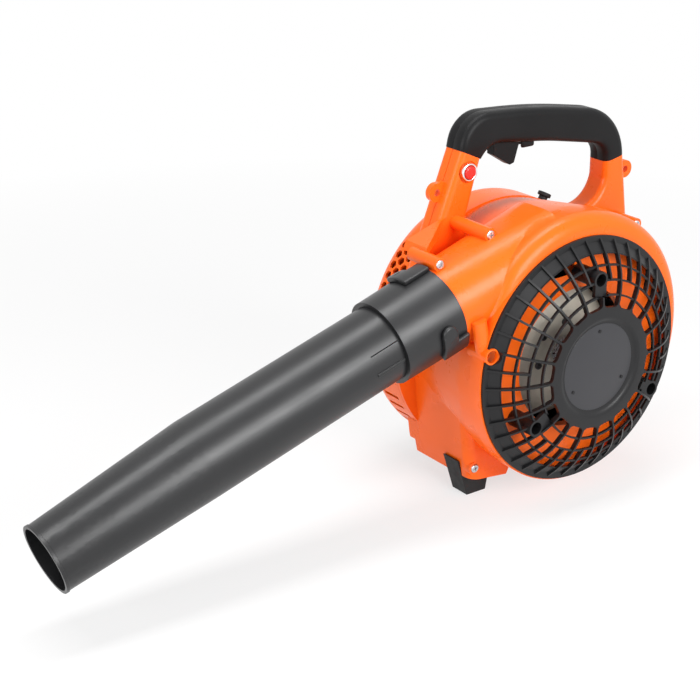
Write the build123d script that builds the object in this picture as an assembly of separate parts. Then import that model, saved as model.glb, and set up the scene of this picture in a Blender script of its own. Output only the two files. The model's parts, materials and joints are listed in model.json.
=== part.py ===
from build123d import *
import math
import os

# Hand-held petrol leaf blower, millimetres.
# Built about the fan: the fan axis is the Y axis, the intake rim lies at y = 0,
# the engine is behind it on +Y, the pipe points to -X, and +Z is up.

# Clearances
gap = 0.3                  # between pieces that move past each other
running_fit = 0.05         # shaft in bearing, radial
screw_fit = 0.2            # screw in its hole, radial
seat_fit = 0.1             # foot or stand against a curved wall

# Fan case
tongue_radius = 119.0      # fan axis to the outside of the scroll at its tongue
scroll_growth = 20.5       # how far the scroll opens up from there
scroll_steps = 12
tongue_angle = 190.0       # place of the tongue, from +X towards +Z
opening_turn = 200.0       # degrees over which the scroll opens
outlet_turn = 277.0        # degrees from the tongue to the outlet
closing_turn = 61.0        # degrees over which it closes in again
scroll_straight = 32.0     # depth of the scroll before it narrows towards the back
scroll_taper = 12.0        # how much smaller its back is
case_wall = 3.0
case_depth = 91.0          # rim plane to the joint with the back frame
case_front_round = 15.0
rim_radius = 120.0         # outside of the intake grille
rim_ledge = 1.5            # case rim outside the grille
dish_radius = 113.0        # recess under the grille
dish_depth = 6.5
inlet_radius = 69.0
inlet_lip = 9.0            # length of the lip round the inlet

# Outlet duct and pipe
pipe_y = 50.0              # pipe axis behind the rim plane
pipe_z = 106.1             # pipe axis above the fan axis, at x = 0
pipe_tilt = 17.44          # slope of the pipe, down towards the mouth
duct_start = 10.0          # stations along the pipe axis from x = 0
duct_end = 138.5
duct_radius = 40.5
duct_round = 34.0          # corners of the duct where it leaves the scroll
duct_side = 1.0            # duct inside the faces of the case
stub_radius = 38.4
stub_length = 46.0
stub_wall = 3.0
stub_root = 5.0            # stub run back into the duct
collar_seat = 1.0          # collar clear of the duct's end
collar_length = 66.0
collar_rear_radius = 41.9
collar_front_radius = 40.8
pipe_radius = 36.4
pipe_fit = 0.15            # pipe in the collar, radial
pipe_wall = 2.2
pipe_overlap = 19.0        # pipe held inside the collar
pipe_straight = 200.0      # collar to the start of the nozzle taper
nozzle_length = 151.0
nozzle_radius = 31.0       # outside of the mouth
nozzle_drop = 4.5          # mouth below the pipe axis
mouth_lip = 3.0
mouth_lip_height = 0.9
mouth_lip_wall = 1.9
rib_start = 1.5            # guide rib and slit, ahead of the collar
rib_run = 30.0
rib_angle = 176.0          # round the pipe, from +Y over the underside
pipe_rib_width = 2.6
pipe_rib_height = 1.2
slit_angle = 205.7
slit_width = 0.7

# Bayonet between stub and collar
peg_count = 3
peg_radius = 3.6
peg_height = 2.6
peg_station = 21.5         # ahead of the duct's end
peg_first_angle = 58.0
twist_angle = 24.0
channel_roof = 3.0

# Case screws and their bosses
boss_radius = 6.5
boss_face = 40.0
boss_depth = 14.0          # length of a boss in the back frame
rear_boss_face = 60.0
screw_radius = 2.4
screw_head_radius = 4.4
screw_head_height = 3.0
screw_head_proud = 1.0
screw_bite = 10.0          # screw run into the back frame
screw_tip_room = 1.0       # hole beyond the screw's end
top_boss = (-80.0, 126.0)
outlet_boss = (-138.0, 109.0)
foot_boss = (-90.0, -105.0)
rear_boss = (127.0, 93.0)
bracket_front = 62.0       # where the outlet boss meets the bracket of the frame
bracket_back = 80.0
bracket_end = (-134.0, 117.5)
bracket_root_top = (-90.0, 132.0)
bracket_root_foot = (-104.0, 116.0)
web_setback = 12.0         # web of the rear boss, behind its face
web_depth = 12.0           # the same web in the back frame
tube_place = (-111.5, 29.0)
tube_radius = 7.6
tube_bore = 6.0
tube_front = 4.0           # ahead of the rim plane
tube_root = 22.0
tube_column = (-119.0, 62.0)  # top of the column that joins the tube to the duct
grille_post_radius = 5.0
grille_post_length = 10.0

# Skirt below the outlet, and the foot that it carries
skirt_points = [(-110.0, 45.0), (-108.0, 0.0), (-103.0, -58.0), (-98.0, -98.0), (-94.0, -117.0),
                (-50.0, -122.0), (-44.0, -110.0), (-78.0, 0.0), (-84.0, 45.0)]
skirt_round = 10.0
skirt_extra = 13.0         # skirt behind the back frame
skirt_notch_depth = 8.0
skirt_notch_top = -104.0
floor_drop = 140.0         # fan axis above the ground
foot_points = [(-100.0, -100.0), (-87.0, -floor_drop), (-64.0, -floor_drop), (-60.0, -119.0), (-80.0, -110.0)]
foot_front = 54.0
foot_back = 76.0

# Back frame and handle
frame_depth = 28.0
frame_wall = 3.5
engine_hole = 30.0
handle_round = 7.0
front_post_foot = (-121.0, 68.0)
front_post_top = (-73.0, 191.0)
front_post_inner_top = (-49.0, 180.0)
front_post_inner_foot = (-66.0, 122.0)
front_post_root = (-58.0, 98.0)
front_post_heel = (-98.0, 52.0)
rear_post_top = (136.5, 157.0)
rear_post_foot = (147.0, 88.0)
rear_post_inner_top = (112.0, 152.0)
rear_post_inner_low = (112.0, 136.0)
rear_post_inner_bend = (103.0, 119.0)
rear_post_inner_foot = (80.0, 110.0)
rear_post_root = (60.0, 96.0)
rear_post_heel = (126.0, 40.0)
parting_width = 0.7        # line along the middle of the front post
parting_depth = 0.6
grip_front_corner = (-66.0, 226.5)
grip_front_bend = 32.0
grip_rear_corner = (130.5, 201.0)
grip_rear_bend = 43.0
grip_under_rear = (95.0, 171.0)
grip_under_front = (-36.0, 192.0)
grip_inner_bend = 12.0
grip_round = 7.0
grip_hump_points = [(4.0, 190.0), (8.0, 180.5), (13.0, 180.5), (21.0, 190.0)]
lug_radius = 9.0
lug_hole = 3.4
lug_thickness = 6.0
lug_root = 16.0            # lug run into the post
front_lug = (-93.0, 153.0)
rear_lug = (149.0, 137.0)

# Throttle trigger and stop switch
trigger_width = 10.0
trigger_pivot = (-22.0, 203.0)
trigger_eye = 6.0
trigger_pin_radius = 2.0
trigger_pin_length = 20.0
trigger_points = [(-28.0, 203.0), (-27.5, 179.0), (-7.0, 166.5), (-2.0, 168.0), (3.5, 186.0), (4.0, 199.0),
                  (-16.0, 207.0)]
trigger_slot_points = [(-34.0, 178.0), (-34.0, 212.0), (24.0, 208.0), (24.0, 176.0)]
stop_place = (-66.0, 171.0)
stop_recess_radius = 10.5
stop_recess_depth = 2.0
stop_ring_radius = 8.6
stop_ring_proud = 1.2
stop_button_radius = 6.2
stop_button_height = 5.0   # out of the handle's face
stop_button_depth = 9.0    # into the handle
stop_button_round = 1.5
stop_well = 14.0

# Intake grille
rib_count = 20
rib_first_angle = 109.0
rib_width = 2.0
rib_height = 5.0
rib_points = 7
ring_radii = [70.2, 83.4, 96.0]
ring_width = 1.8
ring_height = 2.6
ring_setback = 1.0         # rings below the tops of the ribs
grille_rise = 29.5         # hub above the rim plane
dome_power = 2.1
grille_wall = 2.4
rim_width = 15.0
rim_setback = 3.5          # rim below the tops of the ribs
rim_flange = 6.0
hub_radius = 58.0
hub_edge = 66.0
hub_recess_top = 50.0
hub_recess_floor = 43.0
hub_recess_depth = 4.0
hub_gap_length = 26.0
hub_gap_round = 5.0
pip_reach = 35.5
pip_radius = 1.7
pip_height = 0.9
grille_boss_count = 3
grille_boss_reach = 85.0
grille_boss_first_angle = 91.0
grille_boss_face = 24.5    # ahead of the rim plane
grille_boss_bore = 6.0
grille_boss_wall = 2.2
grille_boss_floor = 5.0
tongue_width = 14.0
tongue_thickness = 4.0
grille_screw_length = 14.0

# Fan and crankshaft
fan_radius = 106.0
fan_front = 20.0
fan_back = 85.0
fan_disc = 3.0
blade_count = 12
blade_inner_radius = 73.0
blade_thickness = 2.5
blade_sweep = 38.0
fan_hub_radius = 26.0
plate_radius = 67.0
plate_flat_radius = 40.0
plate_front = 27.0
plate_rise = 11.0
plate_thickness = 2.0
plate_screw_reach = 28.5
plate_screw_count = 6
plate_screw_first_angle = 20.0
plate_screw_head = 3.8
plate_screw_height = 2.2
shaft_radius = 10.0
shaft_front = 21.0
shaft_head = 3.0           # collar behind the flywheel
shaft_head_length = 4.0
nut_size = 16.0
flywheel_radius = 55.0
flywheel_thickness = 12.0
flywheel_rim = 10.0
flywheel_web = 6.0
flywheel_hub = 19.0
flywheel_fins = 12
flywheel_fin_length = 17.0
flywheel_fin_width = 2.4
flywheel_room = 3.0        # crankcase to flywheel

# Engine
crankcase_radius = 42.0
crankcase_depth = 53.0
mount_flange_radius = 52.0
mount_flange_thickness = 6.5
deck_length = 52.0
deck_breadth = 40.0
shaft_room = 2.0
bearing_radius = 21.0
bearing_width = 11.0
coil_reach = 72.0
coil_width = 26.0
coil_height = 14.0
coil_angle = 20.0
coil_arm_width = 28.0
coil_arm_depth = 10.0
coil_air_gap = 1.0
coil_round = 3.0
cylinder_lean = 28.0
cylinder_y = 32.0          # cylinder axis behind the back wall
cylinder_core = 22.0
cylinder_base = 43.0
cylinder_top = 112.0
fin_count = 8
fin_pitch = 7.6
fin_thickness = 2.4
fin_length = 62.0
fin_breadth = 46.0
fin_round = 8.0
head_height = 6.0
port_reach = 53.3
port_breadth = 28.0
port_height = 24.0
port_place = 24.0          # above the cylinder's base
muffler_size = (44.0, 36.0, 62.0)
muffler_shift = 4.0
muffler_place = 40.0
muffler_round = 7.0
tailpipe_radius = 6.0
tailpipe_length = 10.0
tailpipe_place = 22.0
plug_radius = 8.0
plug_height = 6.0
plug_tip_radius = 5.0
plug_tip_height = 9.0
boot_radius = 8.0
boot_height = 11.0
boot_neck_radius = 4.5
boot_neck_height = 9.0
boot_cap_radius = 6.4
boot_cap_height = 3.5

# Engine cover, starter, tank and stand
cover_radius = 129.0
cover_wall = 2.6
cover_depth = 50.0
cover_round = 20.0
cover_first_angle = 40.0
cover_last_angle = 236.0
cover_boot_hole = 10.5
hex_size = 4.4             # corner radius of a honeycomb opening
hex_first_angle = 133.0
hex_pitch_angle = 5.0
hex_first_row = 7.0
hex_row_pitch = 8.2
hex_rows = 4
hex_columns = 9
slot_count = 4
slot_first_angle = 206.0
slot_pitch_angle = 6.0
slot_width = 4.0
slot_start = 8.0
slot_length = 22.0
starter_radius = 76.0
starter_depth = 25.0
starter_wall = 2.6
starter_spigot = 17.0
starter_flange = 10.0
starter_flange_thickness = 3.0
starter_bevel = 9.0
starter_bevel_depth = 8.0
vent_count = 24
vent_inner_radius = 44.0
vent_outer_radius = 62.0
vent_width = 4.4
starter_post = 8.0
starter_post_room = 6.0    # post clear of the flywheel
rope_guide_radius = 6.0
rope_guide_length = 10.0
rope_radius = 1.6
rope_room = 0.6
rope_reach = 26.0
pulley_radius = 31.0
pulley_width = 12.0
pulley_room = 3.0          # pulley to the starter's back wall
pulley_flange = 3.0
pulley_slope = 1.0
pull_size = (44.0, 17.0, 13.0)
pull_round = 5.0
pull_stem_radius = 7.0
pull_stem_length = 6.0
tank_first_angle = 241.0
tank_last_angle = 314.0
tank_inner_radius = 80.0
tank_wall = 2.6
tank_round = 7.0
tank_setback = 3.0         # tank back inside the cover's back
tank_seam = 0.5            # tank clear of the frame
cap_reach = 106.0
cap_angle = 268.0
cap_radius = 17.0
cap_height = 13.0
cap_wall = 5.0
cap_ridges = 12
cap_ridge_height = 0.8
cap_ridge_width = 3.0
cap_ridge_inset = 2.0
neck_height = 6.0
neck_wall = 2.5
stand_left = -30.0
stand_right = 90.0
stand_front = 14.0         # behind the frame
stand_depth = 26.0
stand_top = -98.0
stand_arch_left = -10.0
stand_arch_right = 60.0
stand_arch_height = 6.0
rear_foot_left = 64.0
rear_foot_right = 92.0
rear_foot_top = -95.0
rear_foot_inset = (4.0, 2.0)

# Carburettor and air filter
carb_setback = 18.0        # clear of the crankcase
carb_size = (32.0, 28.0, 40.0)
carb_front = 24.0
carb_low = -14.0
carb_round = 3.0
carb_neck_radius = 13.0
carb_neck_length = 24.0
carb_neck_height = 6.0
filter_setback = 50.0      # filter base clear of the crankcase
filter_seam = 2.0          # clear of the frame
filter_depth = 46.0
filter_plate = 5.0
filter_plate_low = -70.0
filter_low = -40.0
filter_top = 46.0
filter_reach = 46.0
filter_wall = 3.0
filter_round = 9.0
filter_plate_round = 6.0
filter_slot_count = 5
filter_slot_width = 4.0
filter_slot_pitch = 10.0
filter_slot_first = -22.0
filter_slot_length = 22.0
foam_thickness = 26.0
choke_shift = 20.0
choke_z = -22.0
choke_pin_radius = 3.0
choke_pin_length = 4.0
choke_eye = 7.0
choke_thickness = 3.5
choke_reach = 28.0
choke_tip = 3.5
primer_radius = 10.0
primer_rise = 9.0
primer_shift = 20.0
primer_z = -55.0
primer_seat = 4.0          # bulb's base inside the plate

# Levels and places worked out from the sizes above
frame_back = case_depth + frame_depth
frame_floor = case_depth + frame_wall
handle_middle = case_depth + frame_depth / 2
cover_front = frame_back
cover_back = cover_front + cover_depth
tank_back = cover_back - tank_setback
stub_end = duct_end + stub_length
collar_rear = duct_end + collar_seat
collar_front = collar_rear + collar_length
pipe_rear = collar_front - pipe_overlap
taper_start = collar_front + pipe_straight
mouth_station = taper_start + nozzle_length
crankcase_back = frame_floor + crankcase_depth
flywheel_front = crankcase_back + flywheel_room
flywheel_back = flywheel_front + flywheel_thickness
starter_back = cover_back + starter_depth
pulley_back = starter_back - starter_wall - pulley_room
pulley_front = pulley_back - pulley_width
rope_y = (pulley_front + pulley_back) / 2
guide_top = starter_radius + 1 + rope_guide_length / 2
pull_low = guide_top + gap
filter_front = crankcase_radius + filter_setback
filter_box = filter_front + filter_plate
filter_y = cover_front + filter_seam
choke_place = (filter_front + choke_shift, choke_z)
primer_place = (filter_y + primer_shift, primer_z)
frame_screw_end = case_depth + screw_bite
case_bosses = [(top_boss, boss_face, frame_screw_end), (outlet_boss, boss_face, bracket_back - screw_tip_room),
               (foot_boss, boss_face, frame_screw_end), (rear_boss, rear_boss_face, frame_screw_end)]


def flat(sketch, y_from, y_to):
    """Sketch drawn in x and z, made into a solid from y_from to y_to."""
    return extrude(Plane.XZ.offset(-y_from) * sketch, amount=y_to - y_from, dir=(0, 1, 0))


def disc(radius, y_from, y_to, place=(0, 0)):
    return flat(Pos(place[0], place[1]) * Circle(radius), y_from, y_to)


def outline(points):
    return make_face(Polyline(*points, close=True))


def block(x_from, x_to, y_from, y_to, z_from, z_to):
    size = Box(x_to - x_from, y_to - y_from, z_to - z_from)
    return Pos((x_from + x_to) / 2, (y_from + y_to) / 2, (z_from + z_to) / 2) * size


def turned(profile, first_angle=0.0, last_angle=360.0):
    """Profile of (radius, y) points or a face, turned about the fan axis."""
    face = outline(profile) if isinstance(profile, list) else profile
    solid = revolve(face, Axis.Y, last_angle - first_angle)
    return Rot(0, -last_angle, 0) * solid


def at_angle(solid, angle):
    """Turn a solid that lies on +X round the fan axis, towards +Z."""
    return Rot(0, -angle, 0) * solid


def polar(reach, angle):
    return (reach * math.cos(math.radians(angle)), reach * math.sin(math.radians(angle)))


def spread(count, first_angle):
    return [first_angle + 360.0 / count * index for index in range(count)]


def at_y(solid, level):
    return [edge for edge in solid.edges() if abs(edge.center().Y - level) < 1e-3]


# Scroll: a spiral that opens from the tongue to the outlet, then closes in again
def scroll(inset):
    points = []
    for turn in spread(scroll_steps, 0):
        if turn <= outlet_turn:
            growth = min(turn / opening_turn, 1.0) ** 2
        else:
            share = min((turn - outlet_turn) / closing_turn, 1.0)
            growth = (1 + math.cos(math.pi * share)) / 2
        points.append(polar(tongue_radius + scroll_growth * growth - inset, tongue_angle + turn))
    return make_face(Spline(*points, periodic=True))


def scroll_body(inset, y_from, y_to):
    """The scroll between two levels: straight at the front, then narrowing towards the back."""
    levels = [y_from, y_to]
    if y_from < scroll_straight < y_to:
        levels.insert(1, scroll_straight)
    sections = []
    for level in levels:
        share = max(level - scroll_straight, 0) / (frame_back - scroll_straight)
        sections.append(Plane.XZ.offset(-level) * scroll(inset + scroll_taper * share))
    return loft(sections, ruled=True)


pipe_dir = (-math.cos(math.radians(pipe_tilt)), 0, -math.sin(math.radians(pipe_tilt)))
pipe_frame = Plane(origin=(0, pipe_y, pipe_z), x_dir=(0, 1, 0), z_dir=pipe_dir).location


def along_pipe(solid):
    """Move a solid drawn about its own Z axis onto the pipe axis."""
    return pipe_frame * solid


def round_bar(radius, low, high):
    return Pos(0, 0, low) * Cylinder(radius, high - low, align=(Align.CENTER, Align.CENTER, Align.MIN))


def radial_bar(radius, inner, outer, station, angle):
    """Round bar that points out from the Z axis."""
    bar = Rot(0, 90, 0) * round_bar(radius, inner, outer)
    return Rot(0, 0, angle) * Pos(0, 0, station) * bar


def duct(inset):
    width = case_depth - 2 * (inset + duct_side)
    height = 2 * (duct_radius - inset)
    first = Plane(origin=(0, 0, duct_start)) * Pos(case_depth / 2 - pipe_y, 0) * RectangleRounded(
        width, height, duct_round - inset)
    last = Plane(origin=(0, 0, duct_end)) * RectangleRounded(height, height, height / 2 - 0.01)
    return along_pipe(loft([first, last]))


def skirt(y_from, y_to):
    return flat(outline(skirt_points), y_from, y_to)


def rear_web(y_from, y_to):
    return flat(outline([rear_boss, rear_post_heel, rear_post_root]), y_from, y_to)


def grille_boss_places():
    return [polar(grille_boss_reach, angle) for angle in spread(grille_boss_count, grille_boss_first_angle)]


def tube_boss():
    """Open tube under the outlet, with the column that joins it to the duct."""
    tube = disc(tube_radius, -tube_front, tube_root, tube_place)
    foot = Vector(tube_place[0], tube_radius, tube_place[1])
    rise = Vector(tube_column[0], tube_radius, tube_column[1]) - foot
    column = Plane(origin=foot, z_dir=rise).location * round_bar(tube_radius - 0.5, 0, rise.length)
    return tube + column


def fan_case():
    hollow = scroll_body(case_wall, case_wall, case_depth)
    hollow = fillet(at_y(hollow, case_wall), case_front_round - case_wall)
    hollow -= disc(dish_radius + case_wall, 0, dish_depth + case_wall)
    shell = fillet(at_y(scroll_body(0, 0, case_depth), 0), case_front_round)
    shell += disc(rim_radius + rim_ledge, 0, case_front_round)
    shell -= hollow
    outside = duct(0) + along_pipe(round_bar(stub_radius, duct_end - stub_root, stub_end))
    front_skirt = skirt(boss_face, case_depth)
    outer = [edge for edge in at_y(front_skirt, boss_face) if edge.center().X < skirt_points[3][0]]
    outside += fillet(outer, skirt_round)
    outside += disc(boss_radius, boss_face, bracket_front, outlet_boss)
    for place, face, _ in (case_bosses[0], case_bosses[2], case_bosses[3]):
        outside += disc(boss_radius, face, case_depth, place)
    outside += rear_web(rear_boss_face + web_setback, case_depth)
    outside += tube_boss()
    shell += outside - hollow
    shell -= duct(case_wall)
    shell -= along_pipe(round_bar(stub_radius - stub_wall, duct_end - stub_root - case_wall, stub_end))
    shell -= disc(dish_radius, -1, dish_depth)
    shell -= disc(inlet_radius, 0, case_depth / 2)
    lip_end = dish_depth + inlet_lip
    added = [disc(inlet_radius + case_wall, dish_depth, lip_end) - disc(inlet_radius, dish_depth, lip_end)]
    holes = [disc(tube_bore, -tube_front, tube_root - case_wall, tube_place)]
    for place in grille_boss_places():
        added.append(disc(grille_post_radius, dish_depth, dish_depth + grille_post_length, place))
        holes.append(disc(screw_radius + screw_fit, 0, dish_depth + grille_post_length - 1.5, place))
    for place, face, _ in case_bosses:
        seat = face - screw_head_proud
        holes.append(disc(screw_radius + screw_fit, face, case_depth, place))
        holes.append(disc(screw_head_radius + screw_fit, seat, seat + screw_head_height, place))
    shell += added
    shell -= holes
    shell -= flat(outline(foot_points), foot_front, foot_back)
    for angle in spread(peg_count, peg_first_angle):
        shell += along_pipe(radial_bar(peg_radius, stub_radius - stub_wall, stub_radius + peg_height,
                                       duct_end + peg_station, angle))
    return shell


def ring_sector(inner, outer, low, high, first_angle, last_angle):
    """Part of a ring about the Z axis."""
    face = Plane.XZ * Pos((inner + outer) / 2, (low + high) / 2) * Rectangle(outer - inner, high - low)
    return Rot(0, 0, first_angle) * revolve(face, Axis.Z, last_angle - first_angle)


def pipe_collar():
    bore = stub_radius + gap
    seat = pipe_radius + pipe_fit
    shelf = stub_end + gap
    profile = [(bore, collar_rear), (collar_rear_radius, collar_rear), (collar_front_radius, collar_front),
               (seat, collar_front), (seat, shelf), (bore, shelf)]
    collar = revolve(Plane.XZ * outline(profile), Axis.Z)
    half = math.degrees((peg_radius + gap) / stub_radius)
    wall = math.degrees(channel_roof / stub_radius)
    station = duct_end + peg_station
    low = station - peg_radius - gap
    high = station + peg_radius + gap
    floor = stub_radius + peg_height + gap
    roof = floor + channel_roof
    for start in spread(peg_count, peg_first_angle):
        entry = start - twist_angle
        collar += ring_sector(bore + 1, roof, collar_rear, high + channel_roof, entry - half - wall,
                              entry + half + wall)
        collar += ring_sector(bore + 1, roof, low - channel_roof, high + channel_roof, entry, start)
        collar += radial_bar(peg_radius + gap + channel_roof, bore + 1, roof, station, start)
        collar -= ring_sector(bore - 1, floor, collar_rear - 1, high, entry - half, entry + half)
        collar -= ring_sector(bore - 1, floor, low, high, entry, start)
        collar -= radial_bar(peg_radius + gap, bore - 1, floor, station, start)
    return along_pipe(collar)


def pipe_hull(inset):
    first = Plane(origin=(0, 0, taper_start)) * Circle(pipe_radius - inset)
    last = Plane(origin=(0, nozzle_drop, mouth_station)) * Circle(nozzle_radius - inset)
    return round_bar(pipe_radius - inset, pipe_rear, taper_start) + loft([first, last])


def blow_pipe():
    pipe = pipe_hull(0) - pipe_hull(pipe_wall)
    lip_radius = nozzle_radius + mouth_lip_height
    lip = Plane(origin=(0, nozzle_drop, mouth_station - mouth_lip)) * (
        Circle(lip_radius) - Circle(lip_radius - mouth_lip_wall))
    pipe += extrude(lip, amount=mouth_lip)
    first = collar_front + rib_start
    half_rib = math.degrees(pipe_rib_width / 2 / pipe_radius)
    half_slit = math.degrees(slit_width / 2 / pipe_radius)
    for turn in spread(2, 0):
        pipe += ring_sector(pipe_radius - 1, pipe_radius + pipe_rib_height, first, first + rib_run,
                            rib_angle + turn - half_rib, rib_angle + turn + half_rib)
        pipe -= ring_sector(pipe_radius - pipe_wall - 1, pipe_radius + 1, first, first + rib_run,
                            slit_angle + turn - half_slit, slit_angle + turn + half_slit)
    return along_pipe(pipe)


def front_post():
    shape = outline([front_post_foot, front_post_top, front_post_inner_top, front_post_inner_foot,
                     front_post_root, front_post_heel])
    post = flat(shape, case_depth, frame_back)
    line = flat(shape - offset(shape, -parting_depth), handle_middle - parting_width / 2,
                handle_middle + parting_width / 2)
    return ease_post(post) - line


def rear_post():
    shape = make_face(
        Polyline(rear_post_inner_foot, rear_post_root, rear_post_heel, rear_post_foot, rear_post_top,
                 rear_post_inner_top, rear_post_inner_low)
        + ThreePointArc(rear_post_inner_low, rear_post_inner_bend, rear_post_inner_foot))
    return ease_post(flat(shape, case_depth, frame_back))


def ease_post(post):
    """Round the long outer and inner edges of a handle post."""
    sides = at_y(post, case_depth) + at_y(post, frame_back)
    steep = [edge for edge in sides if abs(edge.tangent_at(0.5).Z) > 0.6 and edge.center().Z > rear_boss[1]]
    return fillet(steep, handle_round)


def strap_lug(place, side):
    low = handle_middle - lug_thickness / 2
    high = low + lug_thickness
    inside = place[0] + side * lug_root
    ear = disc(lug_radius, low, high, place)
    ear += block(min(place[0], inside), max(place[0], inside), low, high, place[1] - lug_radius,
                 place[1] + lug_radius)
    return ear - disc(lug_hole, low - 1, high + 1, place)


def outlet_bracket():
    arm = outline([outlet_boss, bracket_root_foot, bracket_root_top, bracket_end])
    bracket = flat(arm, bracket_front, frame_floor) + disc(boss_radius, bracket_front, bracket_back, outlet_boss)
    return bracket - duct(-gap)


def back_frame():
    frame = scroll_body(0, case_depth, frame_back)
    frame += skirt(case_depth, frame_back)
    frame += skirt(frame_back, frame_back + skirt_extra) - disc(cover_radius + gap, 0, cover_back)
    notch_front = frame_back + skirt_extra - skirt_notch_depth
    frame -= block(skirt_points[0][0] - 1, 0, notch_front, cover_back, -floor_drop, skirt_notch_top)
    frame += outlet_bracket()
    frame += rear_web(case_depth, case_depth + web_depth)
    for place, _, _ in (case_bosses[0], case_bosses[2], case_bosses[3]):
        frame += disc(boss_radius, case_depth, case_depth + boss_depth, place)
    frame += front_post()
    frame += rear_post()
    frame -= scroll_body(frame_wall, frame_floor, frame_back)
    frame -= leaned(round_bar(cover_boot_hole, cylinder_top, cover_radius + cover_round))
    frame += strap_lug(front_lug, 1)
    frame += strap_lug(rear_lug, -1)
    frame -= disc(engine_hole, case_depth - 1, frame_floor + 1)
    frame -= disc(stop_recess_radius, case_depth - 1, case_depth + stop_recess_depth, stop_place)
    frame -= disc(stop_button_radius + gap, case_depth - 1, case_depth + stop_well, stop_place)
    for place, face, end in case_bosses:
        frame -= disc(screw_radius + screw_fit, face, end + screw_tip_room, place)
    return frame


def grip_shape():
    corners = [front_post_top, grip_front_corner, grip_rear_corner, rear_post_top, rear_post_inner_top,
               grip_under_rear, grip_under_front, front_post_inner_top]
    bends = {grip_front_corner: grip_front_bend, grip_rear_corner: grip_rear_bend,
             grip_under_rear: grip_inner_bend, grip_under_front: grip_inner_bend}
    shape = outline(corners)
    for corner, bend in bends.items():
        nearest = min(shape.vertices(), key=lambda v: math.dist((v.X, v.Y), corner))
        shape = fillet([nearest], bend)
    return shape


def grip():
    body = flat(grip_shape(), case_depth, frame_back)
    body = fillet(at_y(body, case_depth) + at_y(body, frame_back), grip_round)
    body += flat(outline(grip_hump_points), case_depth + grip_round, frame_back - grip_round)
    slot = trigger_width / 2 + gap
    body -= flat(outline(trigger_slot_points), handle_middle - slot, handle_middle + slot)
    return body - trigger_pin()


def halves(body):
    low, high = body.bounding_box().min, body.bounding_box().max
    near = block(low.X - 1, high.X + 1, low.Y - 1, handle_middle, low.Z - 1, high.Z + 1)
    return body & near, body - near


def throttle_trigger():
    lever = flat(outline(trigger_points), handle_middle - trigger_width / 2, handle_middle + trigger_width / 2)
    lever += disc(trigger_eye, handle_middle - trigger_width / 2, handle_middle + trigger_width / 2, trigger_pivot)
    return lever - disc(trigger_pin_radius + running_fit, case_depth, frame_back, trigger_pivot)


def trigger_pin():
    return disc(trigger_pin_radius, handle_middle - trigger_pin_length / 2,
                handle_middle + trigger_pin_length / 2, trigger_pivot)


def stop_ring():
    low = case_depth + stop_recess_depth
    ring = disc(stop_ring_radius, case_depth - stop_ring_proud, low, stop_place)
    return ring - disc(stop_button_radius + gap, case_depth - stop_ring_proud, low, stop_place)


def stop_button():
    front = case_depth - stop_button_height
    button = disc(stop_button_radius, front, case_depth + stop_button_depth, stop_place)
    return fillet(at_y(button, front), stop_button_round)


def screw(place, face, end):
    return disc(screw_head_radius, face, face + screw_head_height, place) + disc(screw_radius, face, end, place)


def case_screws():
    return Compound([screw(place, face - screw_head_proud, end) for place, face, end in case_bosses])


def grille_screws():
    seat = dish_depth - grille_boss_floor - screw_head_height
    return Compound([screw(place, seat, seat + grille_screw_length) for place in grille_boss_places()])


def dome(radius):
    """Height of the grille's outside at a radius; ahead of the rim is -Y."""
    share = (radius - hub_radius) / (rim_radius - hub_radius)
    return -grille_rise * (1 - max(share, 0) ** dome_power)


def grille_rib(inner, outer):
    radii = [inner + (outer - inner) * step / (rib_points - 1) for step in range(rib_points)]
    top = [(radius, dome(radius)) for radius in radii]
    bottom = [(radius, min(dome(radius) + rib_height, -gap)) for radius in reversed(radii)]
    return extrude(outline(top + bottom), amount=rib_width / 2, both=True)


def grille_rim():
    inner = rim_radius - rim_width
    face = dome(inner) + rim_setback
    edge = rim_radius - rim_flange
    return turned([(inner, face - 1), (inner + 1.2, face - 1), (inner + 1.2, face), (edge, -grille_wall),
                   (rim_radius, -grille_wall), (rim_radius, 0), (edge - 1, 0), (inner, face + grille_wall)])


def grille_hub():
    low = -grille_rise + hub_recess_depth
    hub = turned([(0, low), (hub_recess_floor, low), (hub_recess_top, -grille_rise), (hub_radius, -grille_rise),
                  (hub_edge, dome(hub_edge)), (hub_edge, dome(hub_edge) + 3.6),
                  (hub_recess_top + 2, -grille_rise + grille_wall + 1.4),
                  (hub_recess_floor + 1.5, low + grille_wall), (0, low + grille_wall)])
    pitch = 360.0 / rib_count
    breadth = 2 * hub_edge * math.sin(math.radians(pitch / 2)) - rib_width
    opening = flat(Pos(hub_radius + 1 + hub_gap_length / 2, 0)
                   * RectangleRounded(hub_gap_length, breadth, hub_gap_round), -grille_rise - 1, 0)
    hub -= [at_angle(opening, angle + pitch / 2) for angle in spread(rib_count, rib_first_angle)]
    for angle in spread(grille_boss_count, grille_boss_first_angle):
        hub += disc(pip_radius, low - pip_height, low + grille_wall, polar(pip_reach, angle))
    return hub


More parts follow.
